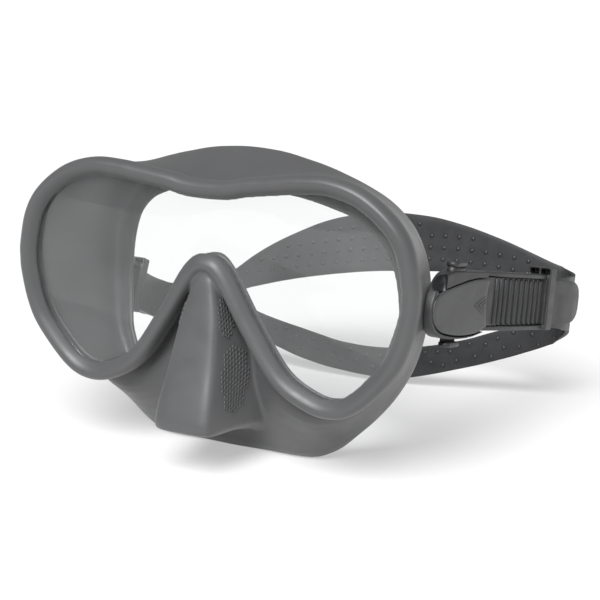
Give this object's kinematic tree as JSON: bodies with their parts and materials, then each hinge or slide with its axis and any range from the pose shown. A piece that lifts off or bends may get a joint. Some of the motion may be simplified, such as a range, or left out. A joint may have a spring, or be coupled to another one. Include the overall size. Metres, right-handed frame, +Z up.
{
  "type": "diving mask",
  "caption": "Frameless diving mask: soft one-piece skirt with nose pocket, single wide lens, split head strap and swivelling quick-release buckles.",
  "frame": {"origin": "middle of the underside of the bounding box", "axes": "+Z up, the lens faces -Y, the wearer's left is +X"},
  "size_m": [0.2078, 0.1738, 0.1169],
  "materials": {
    "silicone": "matte moulded silicone",
    "lens_glass": "clear polished tempered glass",
    "strap_silicone": "satin silicone",
    "buckle_plastic": "fine textured plastic",
    "cover_plastic": "satin plastic",
    "steel": "stainless, brushed"
  },
  "bodies": {
    "mask": {"skirt": "silicone", "lens": "lens_glass"},
    "headstrap": {"strap": "strap_silicone", "buckle_body_L": "buckle_plastic", "buckle_cover_L": "cover_plastic", "swivel_pin_L": "steel", "swivel_cap_L": "buckle_plastic", "spring_top_L": "steel", "spring_bottom_L": "steel", "pawl_pin_L": "steel", "roller_pin_L": "steel", "buckle_body_R": "buckle_plastic", "buckle_cover_R": "cover_plastic", "swivel_pin_R": "steel", "swivel_cap_R": "buckle_plastic", "spring_top_R": "steel", "spring_bottom_R": "steel", "pawl_pin_R": "steel", "roller_pin_R": "steel"},
    "button_top_L": {"button_top_L": "buckle_plastic"},
    "button_bottom_L": {"button_bottom_L": "buckle_plastic"},
    "pawl_L": {"pawl_L": "buckle_plastic"},
    "roller_L": {"roller_L": "buckle_plastic"},
    "button_top_R": {"button_top_R": "buckle_plastic"},
    "button_bottom_R": {"button_bottom_R": "buckle_plastic"},
    "pawl_R": {"pawl_R": "buckle_plastic"},
    "roller_R": {"roller_R": "buckle_plastic"}
  },
  "joints": [
    {"name": "strap_tilt", "type": "hinge", "parent": "mask", "child": "headstrap", "pos_m": [0, -0.04066, 0.0682], "axis": [1, 0, 0], "range_deg": [-25, 40]},
    {"name": "press_top_L", "type": "slide", "parent": "headstrap", "child": "button_top_L", "axis": [0, 0.1822, 0.9833], "range_m": [-0.0012, 0], "stiffness_N_per_m": 400},
    {"name": "press_bottom_L", "type": "slide", "parent": "headstrap", "child": "button_bottom_L", "axis": [0, 0.1822, 0.9833], "range_m": [0, 0.0012], "stiffness_N_per_m": 400},
    {"name": "pawl_lift_L", "type": "hinge", "parent": "headstrap", "child": "pawl_L", "pos_m": [0.0868, -0.02689, 0.06565], "axis": [0, 0.1822, 0.9833], "range_deg": [0, 5], "stiffness_Nm_per_rad": 0.02},
    {"name": "roller_turn_L", "type": "hinge", "parent": "headstrap", "child": "roller_L", "pos_m": [0.086, -0.01706, 0.06383], "axis": [0, 0.1822, 0.9833], "continuous": true},
    {"name": "press_top_R", "type": "slide", "parent": "headstrap", "child": "button_top_R", "axis": [0, 0.3827, 0.9239], "range_m": [-0.0012, 0], "stiffness_N_per_m": 400},
    {"name": "press_bottom_R", "type": "slide", "parent": "headstrap", "child": "button_bottom_R", "axis": [0, 0.3827, 0.9239], "range_m": [0, 0.0012], "stiffness_N_per_m": 400},
    {"name": "pawl_lift_R", "type": "hinge", "parent": "headstrap", "child": "pawl_R", "pos_m": [-0.0868, -0.02772, 0.06284], "axis": [0, 0.3827, 0.9239], "range_deg": [-5, 0], "stiffness_Nm_per_rad": 0.02},
    {"name": "roller_turn_R", "type": "hinge", "parent": "headstrap", "child": "roller_R", "pos_m": [-0.086, -0.01848, 0.05902], "axis": [0, 0.3827, 0.9239], "continuous": true}
  ]
}
